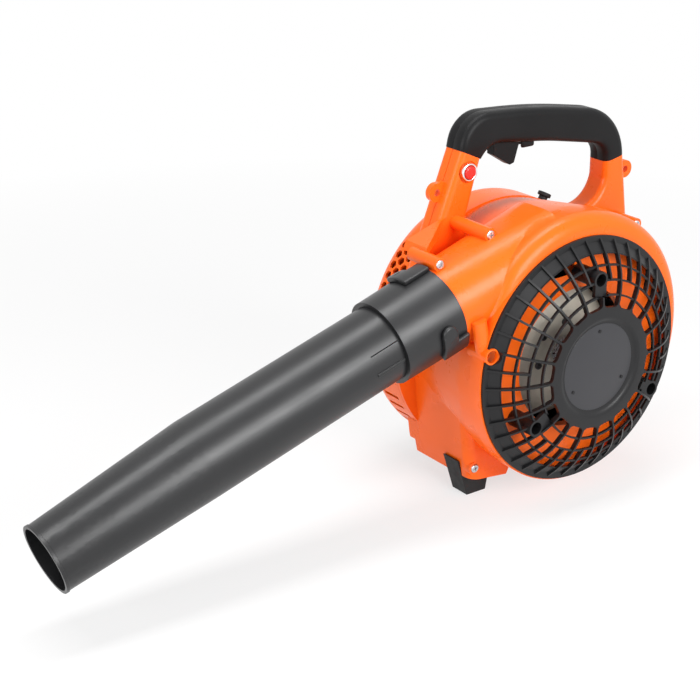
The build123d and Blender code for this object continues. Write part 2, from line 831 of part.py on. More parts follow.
def intake_grille():
    long_rib = grille_rib(hub_radius + 3, rim_radius - 2.5)
    short_rib = grille_rib(ring_radii[1], rim_radius - 2.5)
    ribs = []
    for angle in spread(rib_count, rib_first_angle):
        ribs.append(at_angle(long_rib, angle))
        ribs.append(at_angle(short_rib, angle + 180.0 / rib_count))
    grille = grille_hub() + grille_rim()
    grille += ribs
    for radius in ring_radii:
        low = dome(radius) + ring_setback
        inner = radius - ring_width / 2
        outer = radius + ring_width / 2
        grille += turned([(inner, low), (outer, low), (outer, low + ring_height), (inner, low + ring_height)])
    inner = ring_radii[0] - 1
    for angle in spread(grille_boss_count, grille_boss_first_angle):
        place = polar(grille_boss_reach, angle)
        boss = grille_boss_bore + grille_boss_wall
        shape = [inner, grille_boss_reach]
        clear = block(*shape, -grille_rise - 1, -grille_boss_face, -tongue_width / 2, tongue_width / 2)
        tongue = block(*shape, -grille_boss_face, -grille_boss_face + tongue_thickness, -tongue_width / 2,
                       tongue_width / 2)
        grille -= at_angle(clear, angle)
        grille -= disc(boss, -grille_rise - 1, -grille_boss_face, place)
        grille += at_angle(tongue, angle)
        grille += disc(boss, -grille_boss_face, dish_depth, place)
        grille -= disc(grille_boss_bore, -grille_rise - 1, dish_depth - grille_boss_floor, place)
        grille -= disc(screw_radius + screw_fit, 0, dish_depth + 1, place)
    return grille - disc(tube_radius + gap, -grille_rise, dish_depth, tube_place)


def fan_wheel():
    def blade_point(radius, shift):
        share = (radius - blade_inner_radius) / (fan_radius - blade_inner_radius)
        return polar(radius, -blade_sweep * share + math.degrees(shift / radius))

    wheel = disc(fan_radius, fan_back - fan_disc, fan_back)
    wheel += disc(fan_hub_radius, plate_front + plate_thickness, fan_back)
    radii = (blade_inner_radius, (blade_inner_radius + fan_radius) / 2, fan_radius - gap)
    front = [blade_point(radius, 0) for radius in radii]
    rear = [blade_point(radius, blade_thickness) for radius in radii]
    shape = make_face(ThreePointArc(*front) + Line(front[2], rear[2]) + ThreePointArc(*rear)
                      + Line(rear[0], front[0]))
    blade = flat(shape, fan_front, fan_back - fan_disc / 2)
    wheel += [at_angle(blade, angle) for angle in spread(blade_count, 0)]
    return wheel - disc(shaft_radius + running_fit, 0, fan_back + 1)


def plate_screw_places():
    return [polar(plate_screw_reach, angle) for angle in spread(plate_screw_count, plate_screw_first_angle)]


def fan_plate():
    bore = shaft_radius + running_fit
    back = plate_front + plate_thickness
    plate = turned([(bore, plate_front), (plate_flat_radius, plate_front), (plate_radius, plate_front + plate_rise),
                    (plate_radius, back + plate_rise), (plate_flat_radius - 0.5, back), (bore, back)])
    for place in plate_screw_places():
        plate -= disc(screw_radius, 0, fan_back, place)
    return plate


def plate_screws():
    heads = []
    for place in plate_screw_places():
        heads.append(disc(plate_screw_head, plate_front - plate_screw_height, plate_front, place)
                     + disc(screw_radius, plate_front - plate_screw_height, plate_front + plate_thickness, place))
    return Compound(heads)


def crankshaft():
    end = flywheel_back + shaft_head_length
    return disc(shaft_radius, shaft_front, end) + disc(shaft_radius + shaft_head, flywheel_back, end)


def fan_nut():
    nut = flat(RegularPolygon(nut_size, 6), shaft_front, plate_front)
    return nut - disc(shaft_radius + running_fit, 0, plate_front)


def flywheel():
    wheel = disc(flywheel_radius, flywheel_front, flywheel_back)
    wheel -= disc(flywheel_radius - flywheel_rim, flywheel_front + flywheel_web, flywheel_back)
    wheel += disc(flywheel_hub, flywheel_front, flywheel_back)
    outer = flywheel_radius - flywheel_rim + 1
    fin = block(outer - flywheel_fin_length, outer, flywheel_front + flywheel_web - 1, flywheel_back - 1,
                -flywheel_fin_width / 2, flywheel_fin_width / 2)
    wheel += [at_angle(fin, angle) for angle in spread(flywheel_fins, 0)]
    return wheel - disc(shaft_radius + running_fit, 0, flywheel_back + 1)


def leaned(solid):
    """Move a solid drawn about its own Z axis onto the cylinder axis."""
    return Pos(0, frame_floor + cylinder_y, 0) * Rot(0, cylinder_lean, 0) * solid


def crank_deck():
    return leaned(Pos(0, 0, cylinder_base / 2) * Box(deck_length, deck_breadth, cylinder_base))


def crankcase():
    case = disc(crankcase_radius, frame_floor, crankcase_back)
    case += disc(mount_flange_radius, frame_floor, frame_floor + mount_flange_thickness)
    case += crank_deck()
    arm = block(-coil_reach, -bearing_radius - 1, crankcase_back - coil_arm_depth, crankcase_back,
                -coil_arm_width / 2, coil_arm_width / 2)
    case += at_angle(arm, coil_angle)
    case -= disc(shaft_radius + shaft_room, 0, crankcase_back + 1)
    for low in (frame_floor, crankcase_back - bearing_width):
        case -= disc(bearing_radius, low, low + bearing_width)
    return case


def bearing(front):
    ring = disc(bearing_radius - running_fit, front, front + bearing_width)
    return ring - disc(shaft_radius + running_fit, front - 1, front + bearing_width + 1)


def ignition_coil():
    coil = block(-coil_reach, -(flywheel_radius + coil_air_gap), crankcase_back, crankcase_back + coil_height,
                 -coil_width / 2, coil_width / 2)
    return at_angle(fillet(coil.edges().filter_by(Axis.X), coil_round), coil_angle)


def cylinder():
    barrel = round_bar(cylinder_core, cylinder_base, cylinder_top)
    first = cylinder_top - head_height - fin_pitch * (fin_count - 1)
    fin = RectangleRounded(fin_length, fin_breadth, fin_round)
    for index in range(fin_count):
        barrel += extrude(Plane(origin=(0, 0, first + fin_pitch * index)) * fin, amount=fin_thickness)
    port = Pos(-port_reach / 2, 0, cylinder_base + port_place) * Box(port_reach, port_breadth, port_height)
    return leaned(barrel + port)


def muffler():
    length, breadth, height = muffler_size
    box = Pos(-port_reach - length / 2, muffler_shift, muffler_place) * Box(length, breadth, height)
    box = fillet(box.edges(), muffler_round)
    tailpipe = Pos(-port_reach - length - 2, muffler_shift, tailpipe_place) * Rot(0, 90, 0) * Cylinder(
        tailpipe_radius, tailpipe_length)
    return leaned(box + tailpipe)


def spark_plug():
    shoulder = cylinder_top + plug_height
    return leaned(round_bar(plug_radius, cylinder_top, shoulder)
                  + round_bar(plug_tip_radius, shoulder, shoulder + plug_tip_height))


def plug_boot():
    low = cylinder_top + plug_height + gap
    neck = low + boot_height
    cap = neck + boot_neck_height
    boot = round_bar(boot_radius, low, neck) + round_bar(boot_neck_radius, neck, cap)
    boot += round_bar(boot_cap_radius, cap, cap + boot_cap_height)
    return leaned(boot - round_bar(plug_tip_radius + running_fit, low - 1, low + plug_tip_height))


def cover_section(inset):
    radius = cover_radius - inset
    back = cover_back - inset
    bend = cover_round - inset
    inner = starter_radius + gap
    path = Line((radius, cover_front), (radius, back - bend))
    turn = CenterArc((radius - bend, back - bend), bend, 0, 90)
    rest = Polyline((radius - bend, back), (inner, back), (inner, cover_front), (radius, cover_front))
    return make_face(path + turn + rest)


def engine_cover():
    cover = turned(cover_section(0) - cover_section(cover_wall), cover_first_angle, cover_last_angle)
    low = cover_radius - cover_round
    cell = extrude(Plane.YZ.offset(low) * RegularPolygon(hex_size, 6), amount=2 * cover_round)
    openings = []
    for row in range(hex_rows):
        for column in range(hex_columns):
            angle = hex_first_angle + hex_pitch_angle * (column + 0.5 * (row % 2))
            level = cover_front + hex_first_row + hex_row_pitch * row
            openings.append(at_angle(Pos(0, level, 0) * cell, angle))
    slot = block(low, cover_radius + 1, cover_front + slot_start, cover_front + slot_start + slot_length,
                 -slot_width / 2, slot_width / 2)
    openings += [at_angle(slot, slot_first_angle + slot_pitch_angle * index) for index in range(slot_count)]
    cover -= openings
    return cover - leaned(round_bar(cover_boot_hole, cylinder_top, cover_radius + cover_round))


def starter_housing():
    inner = starter_radius - starter_wall
    flange = starter_radius + starter_flange
    flange_back = cover_back + starter_flange_thickness
    bevel = starter_back - starter_bevel_depth
    floor = starter_back - starter_wall
    housing = turned([(inner, cover_back - starter_spigot), (starter_radius, cover_back - starter_spigot),
                      (starter_radius, cover_back), (flange, cover_back), (flange, flange_back),
                      (starter_radius, flange_back), (starter_radius, bevel),
                      (starter_radius - starter_bevel, starter_back), (0, starter_back), (0, floor),
                      (inner - starter_bevel + 1.5, floor), (inner, bevel - 1)])
    vent = block(vent_inner_radius, vent_outer_radius, floor - 1, starter_back + 1, -vent_width / 2, vent_width / 2)
    housing -= [at_angle(vent, angle) for angle in spread(vent_count, 0)]
    housing += disc(starter_post, flywheel_back + starter_post_room, floor + 1)
    housing += Pos(rope_reach, rope_y, 0) * round_bar(rope_guide_radius, guide_top - rope_guide_length, guide_top)
    return housing - Pos(rope_reach, rope_y, 0) * round_bar(rope_radius + rope_room, pulley_radius + 1, guide_top + 1)


def starter_pulley():
    bore = starter_post + running_fit
    groove = rope_reach - rope_radius
    front_lip = pulley_front + pulley_flange
    back_lip = pulley_back - pulley_flange
    return turned([(bore, pulley_front), (pulley_radius, pulley_front), (pulley_radius, front_lip),
                   (groove, front_lip + pulley_slope), (groove, back_lip - pulley_slope), (pulley_radius, back_lip),
                   (pulley_radius, pulley_back), (bore, pulley_back)])


def starter_grip():
    length, breadth, height = pull_size
    handle = Pos(0, 0, pull_stem_length + height / 2 - 2) * Box(length, breadth, height)
    handle = fillet(handle.edges(), pull_round) + round_bar(pull_stem_radius, 0, pull_stem_length)
    return Pos(rope_reach, rope_y, pull_low) * handle


def starter_rope():
    return Pos(rope_reach, rope_y, 0) * round_bar(rope_radius, 0, pull_low)


def tank_space(inset):
    turn = math.degrees(inset / tank_inner_radius)
    inner = tank_inner_radius + inset
    outer = cover_radius - inset
    front = cover_front + tank_seam + inset
    back = tank_back - inset
    return turned([(inner, front), (outer, front), (outer, back), (inner, back)],
                  tank_first_angle + turn, tank_last_angle - turn)


def fuel_tank():
    body = tank_space(0)
    body = fillet(at_y(body, tank_back), tank_round) - tank_space(tank_wall)
    place = polar(cap_reach, cap_angle)
    neck = cap_radius - cap_wall
    body += disc(neck, tank_back - tank_wall, tank_back + neck_height, place)
    return body - disc(neck - neck_wall, tank_back - tank_wall - 1, tank_back + neck_height + 1, place)


def fuel_cap():
    place = polar(cap_reach, cap_angle)
    cap = disc(cap_radius, tank_back + gap, tank_back + cap_height)
    ridge = block(cap_radius - 1, cap_radius + cap_ridge_height, tank_back + cap_ridge_inset,
                  tank_back + cap_height - cap_ridge_inset, -cap_ridge_width / 2, cap_ridge_width / 2)
    cap += [at_angle(ridge, angle) for angle in spread(cap_ridges, 0)]
    cap -= disc(cap_radius - cap_wall + gap, tank_back, tank_back + neck_height + gap)
    return Pos(place[0], 0, place[1]) * cap


def stand():
    front = cover_front + stand_front
    bar = block(stand_left, stand_right, front, front + stand_depth, -floor_drop, stand_top)
    bar -= block(stand_arch_left, stand_arch_right, front - 1, front + stand_depth + 1, -floor_drop - 1,
                 -floor_drop + stand_arch_height)
    return bar - disc(cover_radius + seat_fit, 0, cover_back + stand_depth)


def front_foot():
    foot = flat(outline(foot_points), foot_front, foot_back)
    return foot - disc(screw_radius + screw_fit, 0, case_depth, foot_boss)


def rear_foot():
    ahead, behind = rear_foot_inset
    foot = block(rear_foot_left, rear_foot_right, case_depth + ahead, frame_back - behind, -floor_drop, rear_foot_top)
    return foot - scroll_body(-seat_fit, case_depth, frame_back)


def carburettor():
    x = crankcase_radius + carb_setback
    length, breadth, height = carb_size
    front = frame_floor + carb_front
    body = block(x, x + length, front, front + breadth, carb_low, carb_low + height)
    body = fillet(body.edges(), carb_round)
    neck = Pos(x + 1, front + breadth / 2, carb_neck_height) * Rot(0, -90, 0) * round_bar(
        carb_neck_radius, 0, carb_neck_length)
    return body + (neck - disc(crankcase_radius, 0, cover_back) - crank_deck())


def primer_bore(radius, x_from, x_to):
    return Pos(0, primer_place[0], primer_place[1]) * Rot(0, 90, 0) * round_bar(radius, x_from, x_to)


def filter_base():
    plate = block(filter_front, filter_box, filter_y, filter_y + filter_depth, filter_plate_low, filter_top)
    plate = fillet(plate.edges().filter_by(Axis.X), filter_plate_round)
    return plate - primer_bore(primer_radius + gap, filter_front - 1, filter_box + 1)


def filter_space(inset, reach):
    return block(filter_box, filter_box + reach, filter_y + inset, filter_y + filter_depth - inset,
                 filter_low + inset, filter_top - inset)


def filter_cover():
    shell = filter_space(0, filter_reach)
    shell = fillet(shell.edges().filter_by(Axis.Y) + shell.edges().group_by(Axis.X)[-1], filter_round)
    shell -= filter_space(filter_wall, filter_reach - filter_wall)
    middle = filter_y + filter_depth / 2
    for index in range(filter_slot_count):
        low = filter_slot_first + filter_slot_pitch * index
        shell -= block(filter_box + filter_reach - 2 * filter_wall, filter_box + filter_reach + 1,
                       middle - filter_slot_length / 2, middle + filter_slot_length / 2, low, low + filter_slot_width)
    wall = filter_y + filter_depth
    return shell + disc(choke_pin_radius, wall - 1, wall + choke_pin_length, choke_place)


def filter_foam():
    return filter_space(filter_wall + gap, foam_thickness)


def choke_lever():
    x, z = choke_place
    low = filter_y + filter_depth + gap
    tip = z - choke_reach
    arm = outline([(x - choke_tip - 1.5, z), (x - choke_tip, tip), (x + choke_tip, tip), (x + choke_tip + 1.5, z)])
    lever = disc(choke_eye, low, low + choke_thickness, choke_place) + flat(arm, low, low + choke_thickness)
    return lever - disc(choke_pin_radius + running_fit, low - 1, low + choke_thickness + 1, choke_place)


def primer_bulb():
    base = filter_front + primer_seat
    bulb = turned([(0, 0), (primer_radius, 0), (primer_radius, 2), (primer_radius - 1.4, primer_rise - 3.4),
                   (primer_radius / 2, primer_rise - 1), (0, primer_rise)])
    return Pos(base, primer_place[0], primer_place[1]) * Rot(0, 0, -90) * bulb


parts = {
    "fan_case": fan_case(), "pipe_collar": pipe_collar(), "blow_pipe": blow_pipe(), "back_frame": back_frame(),
    "throttle_trigger": throttle_trigger(), "trigger_pin": trigger_pin(),
    "stop_ring": stop_ring(), "stop_button": stop_button(),
    "intake_grille": intake_grille(), "grille_screws": grille_screws(), "case_screws": case_screws(),
    "fan_wheel": fan_wheel(), "fan_plate": fan_plate(), "plate_screws": plate_screws(),
    "crankshaft": crankshaft(), "fan_nut": fan_nut(), "flywheel": flywheel(), "crankcase": crankcase(),
    "front_bearing": bearing(frame_floor), "rear_bearing": bearing(crankcase_back - bearing_width),
    "ignition_coil": ignition_coil(), "cylinder": cylinder(), "muffler": muffler(),
    "spark_plug": spark_plug(), "plug_boot": plug_boot(), "engine_cover": engine_cover(),
    "starter_housing": starter_housing(), "starter_pulley": starter_pulley(),
    "starter_grip": starter_grip(), "starter_rope": starter_rope(),
    "fuel_tank": fuel_tank(), "fuel_cap": fuel_cap(), "stand": stand(),
    "front_foot": front_foot(), "rear_foot": rear_foot(), "carburettor": carburettor(),
    "filter_base": filter_base(), "filter_cover": filter_cover(), "filter_foam": filter_foam(),
    "choke_lever": choke_lever(), "primer_bulb": primer_bulb(),
}
parts["grip_right"], parts["grip_left"] = halves(grip())

# The part stands on the ground, centred under its own box
box = Compound(list(parts.values())).bounding_box()
origin = Pos(-(box.min.X + box.max.X) / 2, -(box.min.Y + box.max.Y) / 2, -box.min.Z)
os.makedirs("parts", exist_ok=True)
for name, solid in parts.items():
    export_step(origin * solid, "parts/" + name + ".step")
print("fan axis at", origin.position)
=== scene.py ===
import json
import math

import bpy
from mathutils import Matrix, Vector


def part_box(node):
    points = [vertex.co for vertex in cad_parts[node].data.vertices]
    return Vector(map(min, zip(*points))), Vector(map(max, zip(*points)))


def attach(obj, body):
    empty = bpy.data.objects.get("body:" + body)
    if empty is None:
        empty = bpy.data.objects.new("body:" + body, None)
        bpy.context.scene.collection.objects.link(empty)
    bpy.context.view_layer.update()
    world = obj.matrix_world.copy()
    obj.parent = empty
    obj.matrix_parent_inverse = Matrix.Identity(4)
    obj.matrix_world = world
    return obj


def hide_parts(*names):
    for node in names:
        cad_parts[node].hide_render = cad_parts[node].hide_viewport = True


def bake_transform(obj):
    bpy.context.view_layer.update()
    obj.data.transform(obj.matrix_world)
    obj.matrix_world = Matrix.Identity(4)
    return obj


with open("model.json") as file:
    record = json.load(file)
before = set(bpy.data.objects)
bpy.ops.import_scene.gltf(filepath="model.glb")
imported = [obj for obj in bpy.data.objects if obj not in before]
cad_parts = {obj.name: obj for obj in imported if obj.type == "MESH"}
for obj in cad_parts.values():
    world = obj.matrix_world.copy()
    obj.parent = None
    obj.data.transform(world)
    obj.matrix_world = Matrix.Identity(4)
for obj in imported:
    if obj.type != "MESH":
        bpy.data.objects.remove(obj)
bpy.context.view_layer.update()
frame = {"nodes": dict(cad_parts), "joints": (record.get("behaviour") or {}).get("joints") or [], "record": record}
mm = 0.001
quarterTurn = math.radians(90)
weldReach = 0.00002  # metres; corners nearer than this become one
facing = 0.9  # how squarely a picked face looks along an axis
print("frame loaded:", len(frame["nodes"]), "nodes")


def jointPlace(name):
    for joint in frame["joints"]:
        if joint["name"] == name:
            return Vector(joint["pos_m"])


fanAxis = jointPlace("rotor_spin")
fanDepth = 50 * mm  # the fan joint sits this far behind the intake rim
rimFace = fanAxis.y - fanDepth


def place(x, y, z):  # millimetres from the fan axis and the intake rim
    return Vector((fanAxis.x + x * mm, rimFace + y * mm, fanAxis.z + z * mm))


def polar(reach, angle):
    return reach * math.cos(math.radians(angle)), reach * math.sin(math.radians(angle))


def deselectAll():
    if bpy.context.mode != "OBJECT":
        bpy.ops.object.mode_set(mode="OBJECT")
    bpy.ops.object.select_all(action="DESELECT")


def pickOnly(obj):
    deselectAll()
    obj.select_set(True)
    bpy.context.view_layer.objects.active = obj


def editMode(kind):
    bpy.ops.object.mode_set(mode="EDIT")
    bpy.ops.mesh.select_mode(type=kind)
    bpy.ops.mesh.select_all(action="DESELECT")


def pickFaces(obj, wanted):  # wanted(face) picks by place or normal
    bpy.ops.object.mode_set(mode="OBJECT")
    for face in obj.data.polygons:
        face.select = wanted(face)
    bpy.ops.object.mode_set(mode="EDIT")


def settle(obj):  # place and turn go into the mesh
    pickOnly(obj)
    bpy.ops.object.transform_apply(location=True, rotation=True, scale=True)


def editAll(obj):  # edit mode with everything picked
    pickOnly(obj)
    bpy.ops.object.mode_set(mode="EDIT")
    bpy.ops.mesh.select_all(action="SELECT")


def faceOutward(obj, weld=True):
    editAll(obj)
    if weld:
        bpy.ops.mesh.remove_doubles(threshold=weldReach)
    bpy.ops.mesh.normals_make_consistent(inside=False)
    bpy.ops.object.mode_set(mode="OBJECT")


def smoothBelow(obj, angle):  # edges bent further than this stay sharp
    pickOnly(obj)
    bpy.ops.object.shade_smooth_by_angle(angle=math.radians(angle))


def roundEdges(obj, width, steps, fromAngle=40):
    rounding = obj.modifiers.new("rounding", "BEVEL")
    rounding.width = width
    rounding.segments = steps
    rounding.limit_method = "ANGLE"
    rounding.angle_limit = math.radians(fromAngle)
    pickOnly(obj)
    bpy.ops.object.modifier_apply(modifier="rounding")


# finishes

evenSmear = (1, 1, 1)
noiseDetail = dict(cloud=4, smear=6, grain=2)


def newFinish(name):
    mat = bpy.data.materials.new(name)
    mat.use_nodes = True
    nodes = mat.node_tree.nodes
    return mat, nodes, mat.node_tree.links, nodes["Principled BSDF"]


def addNoise(nodes, links, coord, scale, detail, stretch=evenSmear):
    mapping = nodes.new("ShaderNodeMapping")
    mapping.inputs["Scale"].default_value = stretch
    noise = nodes.new("ShaderNodeTexNoise")
    noise.inputs["Scale"].default_value = scale
    noise.inputs["Detail"].default_value = detail
    links.new(coord.outputs["Object"], mapping.inputs["Vector"])
    links.new(mapping.outputs["Vector"], noise.inputs["Vector"])
    return noise.outputs["Fac"]


def addRange(nodes, links, source, low, high, fromLow=0.3, fromHigh=0.7):
    span = nodes.new("ShaderNodeMapRange")
    span.inputs["From Min"].default_value = fromLow
    span.inputs["From Max"].default_value = fromHigh
    span.inputs["To Min"].default_value = low
    span.inputs["To Max"].default_value = high
    links.new(source, span.inputs["Value"])
    return span.outputs["Result"]


def tint(colour, share):
    return tuple(min(1.0, c * share) for c in colour) + (1.0,)


def surfaceFinish(name, look):
    mat, nodes, links, shader = newFinish(name)
    coord = nodes.new("ShaderNodeTexCoord")
    cloud = addNoise(nodes, links, coord, look["cloudScale"], noiseDetail["cloud"])
    tone = nodes.new("ShaderNodeMix")
    tone.data_type = "RGBA"
    tone.inputs["A"].default_value = tint(look["colour"], 1 - look["colourDrift"])
    tone.inputs["B"].default_value = tint(look["colour"], 1 + look["colourDrift"])
    links.new(addRange(nodes, links, cloud, 0, 1), tone.inputs["Factor"])
    links.new(tone.outputs["Result"], shader.inputs["Base Color"])
    smear = addNoise(nodes, links, coord, look["smearScale"], noiseDetail["smear"], look["smearStretch"])
    rough = addRange(nodes, links, smear, look["rough"] - look["roughDrift"],
                     look["rough"] + look["roughDrift"])
    links.new(rough, shader.inputs["Roughness"])
    grain = addNoise(nodes, links, coord, look["grainScale"], noiseDetail["grain"])
    bump = nodes.new("ShaderNodeBump")
    bump.inputs["Strength"].default_value = look["grainStrength"]
    bump.inputs["Distance"].default_value = look["grainHeight"]
    links.new(grain, bump.inputs["Height"])
    links.new(bump.outputs["Normal"], shader.inputs["Normal"])
    for socket, value in look["shader"].items():
        shader.inputs[socket].default_value = value
    return mat


looks = {
    "orangeShell": dict(
        colour=(0.95, 0.135, 0.007), colourDrift=0.025, cloudScale=9, rough=0.3, roughDrift=0.05,
        smearScale=45, smearStretch=evenSmear, grainScale=650, grainStrength=0.2, grainHeight=0.00005,
        shader={"IOR": 1.48, "Specular IOR Level": 0.3}),
    "satinPipe": dict(
        colour=(0.01, 0.0102, 0.0112), colourDrift=0.12, cloudScale=12, rough=0.36, roughDrift=0.03,
        smearScale=60, smearStretch=(0.25, 1, 1), grainScale=900, grainStrength=0.3, grainHeight=0.00006,
        shader={"IOR": 1.5, "Specular IOR Level": 0.5}),
    "grainedGrip": dict(
        colour=(0.0065, 0.0065, 0.007), colourDrift=0.15, cloudScale=18, rough=0.44, roughDrift=0.05,
        smearScale=80, smearStretch=evenSmear, grainScale=1400, grainStrength=0.5, grainHeight=0.0001,
        shader={"IOR": 1.5, "Specular IOR Level": 0.17}),
    "blackMoulding": dict(
        colour=(0.008, 0.008, 0.0088), colourDrift=0.12, cloudScale=14, rough=0.38, roughDrift=0.05,
        smearScale=70, smearStretch=evenSmear, grainScale=1100, grainStrength=0.3, grainHeight=0.00006,
        shader={"IOR": 1.5, "Specular IOR Level": 0.32}),
    "redButton": dict(
        colour=(0.72, 0.02, 0.012), colourDrift=0.05, cloudScale=60, rough=0.25, roughDrift=0.04,
        smearScale=200, smearStretch=evenSmear, grainScale=1200, grainStrength=0.2, grainHeight=0.00004,
        shader={"IOR": 1.5}),
    "zincSteel": dict(
        colour=(0.62, 0.62, 0.64), colourDrift=0.08, cloudScale=90, rough=0.28, roughDrift=0.08,
        smearScale=400, smearStretch=(1, 4, 1), grainScale=1800, grainStrength=0.2, grainHeight=0.00003,
        shader={"Metallic": 1.0}),
    "darkSteel": dict(
        colour=(0.09, 0.09, 0.095), colourDrift=0.1, cloudScale=90, rough=0.4, roughDrift=0.06,
        smearScale=300, smearStretch=evenSmear, grainScale=1500, grainStrength=0.1, grainHeight=0.00002,
        shader={"Metallic": 1.0}),
    "chromeRing": dict(
        colour=(0.82, 0.82, 0.84), colourDrift=0.03, cloudScale=90, rough=0.1, roughDrift=0.03,
        smearScale=300, smearStretch=evenSmear, grainScale=1500, grainStrength=0.05, grainHeight=0.00002,
        shader={"Metallic": 1.0}),
    "castAlloy": dict(
        colour=(0.42, 0.42, 0.43), colourDrift=0.1, cloudScale=40, rough=0.48, roughDrift=0.1,
        smearScale=160, smearStretch=evenSmear, grainScale=700, grainStrength=0.6, grainHeight=0.0002,
        shader={"Metallic": 1.0}),
    "paintedPlate": dict(
        colour=(0.6, 0.57, 0.48), colourDrift=0.06, cloudScale=30, rough=0.42, roughDrift=0.06,
        smearScale=120, smearStretch=evenSmear, grainScale=900, grainStrength=0.3, grainHeight=0.00008,
        shader={"IOR": 1.5}),
    "hubInlay": dict(
        colour=(0.024, 0.024, 0.028), colourDrift=0.06, cloudScale=20, rough=0.34, roughDrift=0.02,
        smearScale=25, smearStretch=evenSmear, grainScale=500, grainStrength=0.05, grainHeight=0.00002,
        shader={"IOR": 1.5, "Specular IOR Level": 0.5}),
    "softRubber": dict(
        colour=(0.011, 0.011, 0.0115), colourDrift=0.15, cloudScale=30, rough=0.58, roughDrift=0.08,
        smearScale=120, smearStretch=evenSmear, grainScale=1000, grainStrength=0.4, grainHeight=0.0001,
        shader={"IOR": 1.5, "Specular IOR Level": 0.3}),
    "milkyTank": dict(
        colour=(0.74, 0.73, 0.66), colourDrift=0.04, cloudScale=25, rough=0.4, roughDrift=0.06,
        smearScale=90, smearStretch=evenSmear, grainScale=500, grainStrength=0.3, grainHeight=0.0001,
        shader={"IOR": 1.5, "Subsurface Weight": 0.2, "Subsurface Scale": 0.004}),
    "openFoam": dict(
        colour=(0.03, 0.03, 0.03), colourDrift=0.5, cloudScale=700, rough=0.85, roughDrift=0.1,
        smearScale=900, smearStretch=evenSmear, grainScale=800, grainStrength=1.0, grainHeight=0.0008,
        shader={}),
    "starterRope": dict(
        colour=(0.1, 0.1, 0.1), colourDrift=0.4, cloudScale=500, rough=0.75, roughDrift=0.1,
        smearScale=700, smearStretch=evenSmear, grainScale=900, grainStrength=0.8, grainHeight=0.0004,
        shader={}),
}
finishes = {name: surfaceFinish(name, look) for name, look in looks.items()}
finishOfSlot = {
    "orange_plastic": "orangeShell", "pipe_plastic": "satinPipe", "grip_plastic": "grainedGrip",
    "black_plastic": "blackMoulding", "red_plastic": "redButton", "steel": "zincSteel",
    "bright_ring": "chromeRing", "alloy": "castAlloy", "rubber": "softRubber",
    "tank_plastic": "milkyTank", "foam": "openFoam", "rope": "starterRope",
}
finishOfNode = {"fan_plate": "paintedPlate", "plate_screws": "darkSteel"}
print("finishes made:", len(finishes))


# every CAD node takes the finish of its slot

slotOfNode = {part["node"]: part["material_slot"] for part in frame["record"]["subparts"]}
bodies = frame["record"]["behaviour"]["bodies"]
bodyOfNode = {node: body for body, nodes in bodies.items() for node in nodes}


def wearFinish(obj, nodeName):
    finish = finishOfNode.get(nodeName, finishOfSlot[slotOfNode[nodeName]])
    obj.data.materials.clear()
    obj.data.materials.append(finishes[finish])


def standFor(piece, nodeName):
    wearFinish(piece, nodeName)
    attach(piece, bodyOfNode[nodeName])
    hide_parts(nodeName)


for nodeName, nodeObj in frame["nodes"].items():
    wearFinish(nodeObj, nodeName)


# mouldings with their edges eased: a merged copy stands for the node

def easedCopy(nodeName, ease):
    piece = bpy.data.objects.new(nodeName + "_eased", frame["nodes"][nodeName].data.copy())
    bpy.context.scene.collection.objects.link(piece)
    pickOnly(piece)
    bpy.ops.mesh.customdata_custom_splitnormals_clear()
    editMode("VERT")
    bpy.ops.mesh.select_all(action="SELECT")
    bpy.ops.mesh.remove_doubles(threshold=weldReach)
    bpy.ops.mesh.dissolve_limited(angle_limit=math.radians(ease["flat"]))
    smoothBelow(piece, ease["sharp"])
    rounding = piece.modifiers.new("rounding", "BEVEL")
    rounding.width = ease["width"]
    rounding.segments = ease["steps"]
    rounding.limit_method = "ANGLE"
    rounding.angle_limit = math.radians(ease["fromAngle"])
    rounding.use_clamp_overlap = True
    rounding.miter_outer = "MITER_ARC"
    rounding.face_strength_mode = "FSTR_AFFECTED"
    bpy.ops.object.modifier_apply(modifier="rounding")
    shading = piece.modifiers.new("shading", "WEIGHTED_NORMAL")
    shading.keep_sharp = True
    shading.use_face_influence = True
    bpy.ops.object.modifier_apply(modifier="shading")
    standFor(piece, nodeName)
    return piece


mouldEase = dict(width=0.0006, steps=2, flat=0.05, sharp=38, fromAngle=32)
easedNodes = ["fan_case", "back_frame", "engine_cover", "pipe_collar", "blow_pipe", "throttle_trigger",
              "intake_grille", "filter_cover", "fuel_tank", "stand", "front_foot", "rear_foot",
              "fan_wheel", "starter_grip", "fuel_cap", "muffler", "cylinder"]
eased = {name: easedCopy(name, mouldEase) for name in easedNodes}
print("mouldings eased:", len(eased))


# solids that several pieces start from

def cutAway(piece, cutter):  # the cutter is used up
    cut = piece.modifiers.new("cut", "BOOLEAN")
    cut.object = cutter
    cut.operation = "DIFFERENCE"
    pickOnly(piece)
    bpy.ops.object.modifier_apply(modifier="cut")
    bpy.data.objects.remove(cutter)


def addBlock(low, high):  # corners as millimetres from the fan axis and the rim
    deselectAll()
    bpy.ops.mesh.primitive_cube_add(size=1, location=(place(*low) + place(*high)) / 2)
    block = bpy.context.active_object
    block.scale = place(*high) - place(*low)
    settle(block)
    return block


def addRod(radius, depth, sides, at=(0, 0, 0), turn=(0, 0, 0)):
    deselectAll()
    bpy.ops.mesh.primitive_cylinder_add(vertices=sides, radius=radius, depth=depth, location=at, rotation=turn)
    return bpy.context.active_object


def addDisc(look, radius, front, back):  # lies flat to the intake, about the look's x and z
    at = place(look.get("x", 0), (front + back) / 2, look.get("z", 0))
    disc = addRod(radius * mm, (back - front) * mm, look["sides"], at, (quarterTurn, 0, 0))
    settle(disc)
    return disc


def addRing(look):
    past = 1  # the bore's cutter stands out this many millimetres at each face
    ring = addDisc(look, look["outer"], look["front"], look["back"])
    cutAway(ring, addDisc(look, look["inner"], look["front"] - past, look["back"] + past))
    return ring


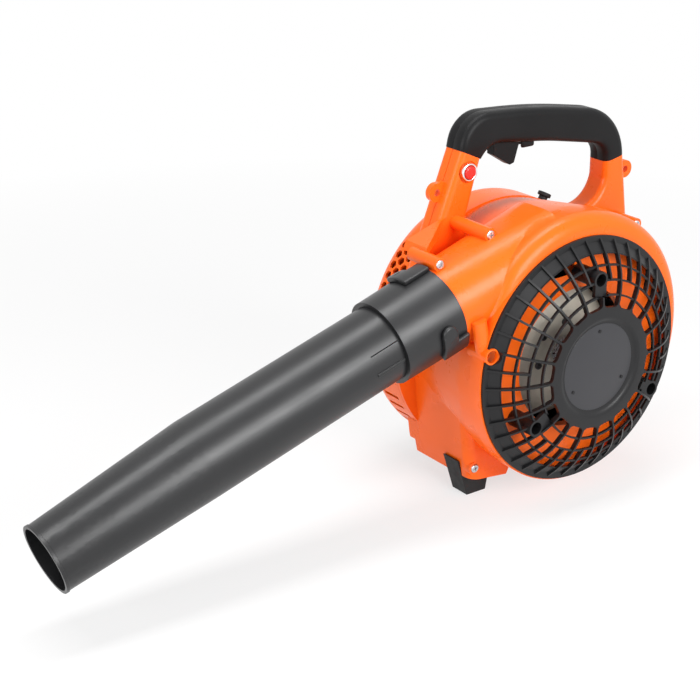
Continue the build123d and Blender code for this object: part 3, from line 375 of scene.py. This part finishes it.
def meshFromCurve(name, shape):
    piece = bpy.data.objects.new(name, shape)
    bpy.context.scene.collection.objects.link(piece)
    pickOnly(piece)
    bpy.ops.object.convert(target="MESH")
    return bpy.context.active_object


def joinInto(piece, others):
    deselectAll()
    for other in others:
        other.select_set(True)
    piece.select_set(True)
    bpy.context.view_layer.objects.active = piece
    bpy.ops.object.join()


# grip: a rounded slab cut flush with the posts, split along the middle

def roundedOutline(corners):  # corner (x, z, bend) as millimetres
    fewestSteps, stepAngle = 8, 4
    points = []
    for index, (x, z, bend) in enumerate(corners):
        here = Vector((x, z))
        if not bend:
            points.append(here)
            continue
        back = (Vector(corners[index - 1][:2]) - here).normalized()
        ahead = (Vector(corners[(index + 1) % len(corners)][:2]) - here).normalized()
        half = back.angle(ahead) / 2
        middle = here + (back + ahead).normalized() * bend / math.sin(half)
        start = here + back * bend / math.tan(half) - middle
        sweep = math.pi - 2 * half
        side = 1 if back.cross(ahead) < 0 else -1
        steps = max(fewestSteps, round(math.degrees(sweep) / stepAngle))
        for step in range(steps + 1):
            turn = side * sweep * step / steps
            points.append(middle + Vector((start.x * math.cos(turn) - start.y * math.sin(turn),
                                           start.x * math.sin(turn) + start.y * math.cos(turn))))
    return points


def roundedSlab(name, points, front, back, rounding, edgeSteps=5):
    shape = bpy.data.curves.new(name, "CURVE")
    shape.dimensions = "2D"
    shape.fill_mode = "BOTH"
    spline = shape.splines.new("POLY")
    spline.points.add(len(points) - 1)
    for corner, point in zip(spline.points, points):
        corner.co = (point.x * mm, point.y * mm, 0, 1)
    spline.use_cyclic_u = True
    shape.extrude = ((back - front) / 2 - rounding) * mm
    shape.bevel_depth = rounding * mm
    shape.bevel_resolution = edgeSteps
    shape.offset = -rounding * mm
    slab = meshFromCurve(name, shape)
    slab.location = place(0, (front + back) / 2, 0)
    slab.rotation_euler = (quarterTurn, 0, 0)
    settle(slab)
    faceOutward(slab)
    return slab


def trimAt(piece, point, outward):  # cuts off what lies on the outward side, and closes the cut
    editAll(piece)
    bpy.ops.mesh.bisect(plane_co=point, plane_no=Vector(outward).normalized(),
                        use_fill=True, clear_outer=True)
    bpy.ops.object.mode_set(mode="OBJECT")


def fitGrip():
    grip = dict(
        front=91, middle=105, back=119, rounding=7, sharp=35,
        corners=[(-80.3, 172.4, 0), (-74.5, 187.3, 0), (-66.5, 224.2, 32), (24, 219.5, 700), (130.5, 202, 57),
                 (137.1, 153, 0), (139.5, 137.2, 0), (112, 132, 0), (112, 148, 0), (112, 170, 18),
                 (36, 184, 420), (-37, 192.5, 24), (-50.1, 176.2, 0), (-54.6, 160.8, 0)],
        ends=[((-73, 191), (-49, 180)), ((112, 152), (136.5, 157))],  # where the posts begin, front and rear
        slotFrom=(-36, 170), slotTo=(24, 210), slotHalf=5.3,  # room for the trigger
        humpFrom=(5, 97, 181), humpTo=(21, 113, 192), humpRounding=2.5 * mm, humpSteps=4,
        seam=0.45 * mm, seamSteps=2, seamFrom=50)
    body = roundedSlab("gripBody", roundedOutline(grip["corners"]), grip["front"], grip["back"],
                       grip["rounding"])
    for (x1, z1), (x2, z2) in grip["ends"]:
        trimAt(body, place(x1, grip["middle"], z1), (z2 - z1, 0, -(x2 - x1)))
    hump = addBlock(grip["humpFrom"], grip["humpTo"])
    roundEdges(hump, grip["humpRounding"], grip["humpSteps"])
    slotX, slotZ = zip(grip["slotFrom"], grip["slotTo"])
    for solid in (body, hump):
        cutAway(solid, addBlock((slotX[0], grip["middle"] - grip["slotHalf"], slotZ[0]),
                                (slotX[1], grip["middle"] + grip["slotHalf"], slotZ[1])))
    joinInto(body, [hump])
    for nodeName, outward in (("grip_right", 1), ("grip_left", -1)):
        pickOnly(body)
        bpy.ops.object.duplicate()
        half = bpy.context.active_object
        half.name = nodeName + "_half"
        trimAt(half, place(0, grip["middle"], 0), (0, outward, 0))
        roundEdges(half, grip["seam"], grip["seamSteps"], grip["seamFrom"])
        smoothBelow(half, grip["sharp"])
        standFor(half, nodeName)
    bpy.data.objects.remove(body)


fitGrip()
print("grip fitted")


# frame: gusset at the outlet screw cut to a slope, a web behind it, a flange by the engine cover

def finishFrame():
    gusset = dict(cutFrom=(-165, 40, 90), cutTo=(-60, 91, 150), slopeAt=(-134, 64, 0), slope=(-0.58, 0.81, 0))
    web = dict(front=91.05, back=95, rounding=0.5, sharp=35,
               corners=[(-125, 95), (-106, 117), (-92, 131), (-80, 131), (-74, 122), (-74, 95)])
    flange = dict(outer=128.9, inner=104, front=115.5, back=118.9, first=140, last=236, sides=160, sharp=35)
    body = eased["back_frame"]
    wedge = addBlock(gusset["cutFrom"], gusset["cutTo"])
    trimAt(wedge, place(*gusset["slopeAt"]), gusset["slope"])
    cutAway(body, wedge)
    sheet = roundedSlab("frameWeb", [Vector(corner) for corner in web["corners"]], web["front"], web["back"],
                        web["rounding"])
    smoothBelow(sheet, web["sharp"])
    ring = addRing(flange)
    for angle, side in ((flange["first"], 1), (flange["last"], -1)):
        lean = math.radians(angle)
        trimAt(ring, place(0, 0, 0), (side * math.sin(lean), 0, -side * math.cos(lean)))
    smoothBelow(ring, flange["sharp"])
    joinInto(body, [sheet, ring])
    wearFinish(body, "back_frame")


finishFrame()
print("frame finished")


# collar: a rounded lid over each bayonet channel

def addLid(lid, first, last, rear, front):  # ring sector about the pipe, drawn along Z
    deselectAll()
    bpy.ops.mesh.primitive_plane_add(size=1)
    sector = bpy.context.active_object
    sector.scale = ((lid["outer"] - lid["inner"]) * mm, (front - rear) * mm, 1)
    sector.rotation_euler = (quarterTurn, 0, 0)
    sector.location = ((lid["outer"] + lid["inner"]) / 2 * mm, 0, (front + rear) / 2 * mm)
    settle(sector)
    editAll(sector)
    bpy.ops.mesh.spin(steps=lid["steps"], angle=math.radians(last - first), center=(0, 0, 0), axis=(0, 0, 1))
    faceOutward(sector)
    roundEdges(sector, lid["rounding"], lid["roundSteps"])
    sector.rotation_euler = (0, 0, math.radians(last))  # the spin runs backwards from here
    settle(sector)
    return sector


def addLidEnd(lid, angle, rear, front):  # round end over the peg's seat
    at = ((lid["outer"] + lid["inner"]) / 2 * mm, 0, (front + rear) / 2 * mm)
    end = addRod((front - rear) / 2 * mm, (lid["outer"] - lid["inner"]) * mm, lid["endSides"], at,
                 (0, quarterTurn, 0))
    settle(end)
    roundEdges(end, lid["rounding"], lid["roundSteps"])
    end.rotation_euler = (0, 0, math.radians(angle))
    settle(end)
    return end


def fitLids():
    lid = dict(inner=41.3, outer=46.2, rear=140, channelRear=152.4, front=168.4, entries=(34, 154, 274),
               entryHalf=11, twist=24, steps=14, endSides=40, rounding=2 * mm, roundSteps=5, sharp=40)
    pipeAxis = dict(at=(0, 50, 106.1), tilt=17.44)
    lids = []
    for entry in lid["entries"]:
        lids.append(addLid(lid, entry - lid["entryHalf"], entry + lid["entryHalf"], lid["rear"], lid["front"]))
        lids.append(addLid(lid, entry, entry + lid["twist"], lid["channelRear"], lid["front"]))
        lids.append(addLidEnd(lid, entry + lid["twist"], lid["channelRear"], lid["front"]))
    rise, run = math.sin(math.radians(pipeAxis["tilt"])), math.cos(math.radians(pipeAxis["tilt"]))
    turn = Matrix(((0, rise, -run), (1, 0, 0), (0, -run, -rise)))
    for sector in lids:  # onto the pipe axis
        sector.matrix_world = Matrix.Translation(place(*pipeAxis["at"])) @ turn.to_4x4()
        settle(sector)
        smoothBelow(sector, lid["sharp"])
    joinInto(eased["pipe_collar"], lids)
    wearFinish(eased["pipe_collar"], "pipe_collar")


fitLids()
print("collar lids fitted")


# starter rope: three strands, twisted up the height of the rope part

def fitRope():
    rope = dict(strands=3, turns=9, steps=72, spread=0.75 * mm, strand=0.84 * mm, roundness=2, sharp=40)
    low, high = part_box("starter_rope")
    foot = Vector(((low[0] + high[0]) / 2, (low[1] + high[1]) / 2, low[2]))
    reach = high[2] - low[2]
    shape = bpy.data.curves.new("starterRope", "CURVE")
    shape.dimensions = "3D"
    shape.bevel_depth = rope["strand"]
    shape.bevel_resolution = rope["roundness"]
    shape.use_fill_caps = True
    for strand in range(rope["strands"]):
        spline = shape.splines.new("POLY")
        spline.points.add(rope["steps"])
        for step, point in enumerate(spline.points):
            share = step / rope["steps"]
            turn = 2 * math.pi * (strand / rope["strands"] + rope["turns"] * share)
            spot = foot + Vector((rope["spread"] * math.cos(turn), rope["spread"] * math.sin(turn),
                                  reach * share))
            point.co = (*spot, 1)
    cord = meshFromCurve("starterRope", shape)
    faceOutward(cord, weld=False)  # the strands lie against each other
    smoothBelow(cord, rope["sharp"])
    wearFinish(cord, "starter_rope")
    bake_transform(cord)
    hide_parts("starter_rope")


fitRope()
print("starter rope fitted")


# bright ring around the stop button

def fitStopRing():
    look = dict(x=-66, z=171, outer=8.6, inner=6.6, front=87.6, back=92.6, sides=64,
                rounding=0.7 * mm, roundSteps=3, sharp=35)
    ring = addRing(look)
    ring.name = "stopRing"
    roundEdges(ring, look["rounding"], look["roundSteps"])
    smoothBelow(ring, look["sharp"])
    standFor(ring, "stop_ring")


fitStopRing()
print("stop ring fitted")


# plug boot, leaned with the cylinder

def fitBoot():
    boot = dict(lean=28, behind=126.5, rounding=0.9 * mm, roundSteps=3, sides=40, sharp=35,
                rings=((8, 118.3, 125.5), (4.5, 124, 133.5), (6.8, 133, 137)))  # radius, low, high
    lean = math.radians(boot["lean"])
    rings = []
    for radius, low, high in boot["rings"]:
        middle = (low + high) / 2
        at = place(middle * math.sin(lean), boot["behind"], middle * math.cos(lean))
        ring = addRod(radius * mm, (high - low) * mm, boot["sides"], at, (0, lean, 0))
        roundEdges(ring, boot["rounding"], boot["roundSteps"])
        settle(ring)
        smoothBelow(ring, boot["sharp"])
        rings.append(ring)
    rings[0].name = "plugBoot"
    joinInto(rings[0], rings[1:])
    standFor(rings[0], "plug_boot")


fitBoot()
print("plug boot fitted")


# cross-head screws

def crossHeadScrew(look):
    screw = addRod(look["radius"], look["height"], look["sides"])
    editMode("FACE")
    pickFaces(screw, lambda face: face.normal.z > facing)
    bpy.ops.mesh.region_to_loop()
    bpy.ops.mesh.bevel(offset=look["crown"], segments=look["crownSteps"], affect="EDGES")
    bpy.ops.mesh.select_mode(type="FACE")
    pickFaces(screw, lambda face: face.normal.z < -facing)
    bpy.ops.mesh.inset(thickness=look["radius"] - look["shank"])
    bpy.ops.mesh.extrude_region_move(TRANSFORM_OT_translate={"value": (0, 0, -look["length"])})
    bpy.ops.object.mode_set(mode="OBJECT")
    for turn in (0, quarterTurn):
        deselectAll()
        bpy.ops.mesh.primitive_cube_add(size=1, location=(0, 0, look["height"] / 2))
        blade = bpy.context.active_object
        blade.scale = (look["slotLength"], look["slotWidth"], look["slotDepth"] * 2)
        blade.rotation_euler = (0, 0, turn)
        settle(blade)
        cutAway(screw, blade)
    return screw


def ringSpots(look):  # evenly round the fan axis
    step = 360 / look["count"]
    turns = [look["first"] + step * index for index in range(look["count"])]
    return [place(x, look["front"], z) for x, z in (polar(look["reach"], turn) for turn in turns)]


def fitScrews(name, nodeName, look, spots):
    first = crossHeadScrew(look)
    copies = []
    for index, spot in enumerate(spots):
        pickOnly(first)
        bpy.ops.object.duplicate()
        copy = bpy.context.active_object
        copy.rotation_euler = (quarterTurn, math.radians(look["turn"] * index), 0)
        copy.location = spot + Vector((0, look["height"] / 2, 0))
        settle(copy)
        copies.append(copy)
    bpy.data.objects.remove(first)
    screws = copies[0]
    screws.name = name
    joinInto(screws, copies[1:])
    smoothBelow(screws, look["sharp"])
    standFor(screws, nodeName)


caseScrew = dict(radius=4.4 * mm, height=3 * mm, crown=1.3 * mm, crownSteps=4, sides=40, sharp=35,
                 shank=2.3 * mm, length=36 * mm, slotLength=5.2 * mm, slotWidth=1.1 * mm,
                 slotDepth=1.7 * mm, turn=37)  # each next screw is turned this much further
caseSpots = [place(-80, 39, 126), place(-138, 39, 109), place(-90, 39, -105), place(127, 59, 93)]
fitScrews("caseScrewHeads", "case_screws", caseScrew, caseSpots)
grilleScrew = dict(caseScrew, length=10 * mm, count=3, reach=85, first=91, front=-1.5)
grilleSpots = ringSpots(grilleScrew)
fitScrews("grilleScrewHeads", "grille_screws", grilleScrew, grilleSpots)
plateScrew = dict(caseScrew, radius=3.8 * mm, height=2.2 * mm, crown=1 * mm, length=1.8 * mm,
                  slotDepth=1.2 * mm, count=6, reach=28.5, first=20, front=24.8)
plateSpots = ringSpots(plateScrew)
fitScrews("plateScrewHeads", "plate_screws", plateScrew, plateSpots)
print("screws fitted:", len(caseSpots) + len(grilleSpots) + len(plateSpots))


# thin inlay on the floor of the grille's hub

def fitHubInlay():
    inlay = dict(radius=42.5, front=-25.75, back=-25.25, sides=96, soften=0.25 * mm, softSteps=3, sharp=35)
    disc = addDisc(inlay, inlay["radius"], inlay["front"], inlay["back"])
    disc.name = "hubInlay"
    editMode("FACE")
    pickFaces(disc, lambda face: face.normal.y < -facing)
    bpy.ops.mesh.region_to_loop()
    bpy.ops.mesh.bevel(offset=inlay["soften"], segments=inlay["softSteps"], affect="EDGES")
    smoothBelow(disc, inlay["sharp"])
    disc.data.materials.append(finishes["hubInlay"])
    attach(disc, "housing")


fitHubInlay()
print("hub inlay fitted")


# studio

def makeFloor():
    floorLook = dict(size=8.0, colour=(0.9, 0.9, 0.9, 1), rough=0.9,
                     paperNear=0.68, paperFar=1.0, nearReach=0.55, farReach=1.3)
    deselectAll()
    bpy.ops.mesh.primitive_plane_add(size=floorLook["size"], location=(0, 0, 0))
    floor = bpy.context.active_object
    floor.name = "studioFloor"
    mat, nodes, links, shader = newFinish("paperFloor")
    shader.inputs["Base Color"].default_value = floorLook["colour"]
    shader.inputs["Roughness"].default_value = floorLook["rough"]
    shader.inputs["Specular IOR Level"].default_value = 0.0
    white = nodes.new("ShaderNodeEmission")
    white.inputs["Color"].default_value = (1, 1, 1, 1)
    coord = nodes.new("ShaderNodeTexCoord")
    reach = nodes.new("ShaderNodeVectorMath")
    reach.operation = "LENGTH"
    links.new(coord.outputs["Object"], reach.inputs[0])
    paper = addRange(nodes, links, reach.outputs["Value"], floorLook["paperNear"], floorLook["paperFar"],
                     floorLook["nearReach"], floorLook["farReach"])
    rays = nodes.new("ShaderNodeLightPath")
    seen = nodes.new("ShaderNodeMath")
    seen.operation = "MAXIMUM"
    links.new(rays.outputs["Is Camera Ray"], seen.inputs[0])
    links.new(rays.outputs["Is Glossy Ray"], seen.inputs[1])
    share = nodes.new("ShaderNodeMath")
    share.operation = "MULTIPLY"
    links.new(seen.outputs["Value"], share.inputs[0])
    links.new(paper, share.inputs[1])
    mix = nodes.new("ShaderNodeMixShader")
    links.new(share.outputs["Value"], mix.inputs["Fac"])
    links.new(shader.outputs["BSDF"], mix.inputs[1])
    links.new(white.outputs["Emission"], mix.inputs[2])
    links.new(mix.outputs["Shader"], nodes["Material Output"].inputs["Surface"])
    floor.data.materials.append(mat)


def makeWorld():
    worldLook = dict(fill=0.3, backdrop=1.0)
    world = bpy.data.worlds.new("studioWorld")
    bpy.context.scene.world = world
    world.use_nodes = True
    nodes, links = world.node_tree.nodes, world.node_tree.links
    background = nodes["Background"]
    background.inputs["Color"].default_value = (1, 1, 1, 1)
    rays = nodes.new("ShaderNodeLightPath")
    seen = rays.outputs["Is Camera Ray"]
    for name in ("Is Glossy Ray", "Is Transmission Ray"):
        both = nodes.new("ShaderNodeMath")
        both.operation = "MAXIMUM"
        links.new(seen, both.inputs[0])
        links.new(rays.outputs[name], both.inputs[1])
        seen = both.outputs["Value"]
    strength = nodes.new("ShaderNodeMapRange")
    strength.inputs["To Min"].default_value = worldLook["fill"]
    strength.inputs["To Max"].default_value = worldLook["backdrop"]
    links.new(seen, strength.inputs["Value"])
    links.new(strength.outputs["Result"], background.inputs["Strength"])


def addPanel(name, look):
    lamp = bpy.data.lights.new(name, "AREA")
    lamp.shape = "RECTANGLE"
    lamp.size, lamp.size_y = look["size"]
    lamp.energy = look["power"]
    panel = bpy.data.objects.new(name, lamp)
    bpy.context.scene.collection.objects.link(panel)
    panel.location = look["at"]
    aim = Vector(look["aim"]) - Vector(look["at"])
    panel.rotation_euler = aim.to_track_quat("-Z", "Y").to_euler()


def makeCamera():
    shot = dict(at=place(-987.6, -1006.2, 567.6), tilt=68.139, turn=-35.678, lens=82.286, sensor=36)
    lens = bpy.data.cameras.new("photoCamera")
    lens.lens = shot["lens"]
    lens.sensor_width = shot["sensor"]
    camera = bpy.data.objects.new("photoCamera", lens)
    bpy.context.scene.collection.objects.link(camera)
    camera.location = shot["at"]
    camera.rotation_euler = (math.radians(shot["tilt"]), 0, math.radians(shot["turn"]))
    bpy.context.scene.camera = camera


makeFloor()
makeWorld()
addPanel("topPanel", dict(at=(-0.1, 0.05, 1.9), aim=(-0.1, 0, 0.15), size=(2.0, 0.5), power=26))
addPanel("frontPanel", dict(at=(0.3, -1.8, 0.95), aim=(0, 0, 0.15), size=(1.2, 0.8), power=33))
addPanel("leftPanel", dict(at=(-1.9, -0.5, 0.7), aim=(0, 0, 0.15), size=(1.2, 1.0), power=18))
makeCamera()
bpy.context.scene.view_settings.view_transform = "Standard"
print("studio set")
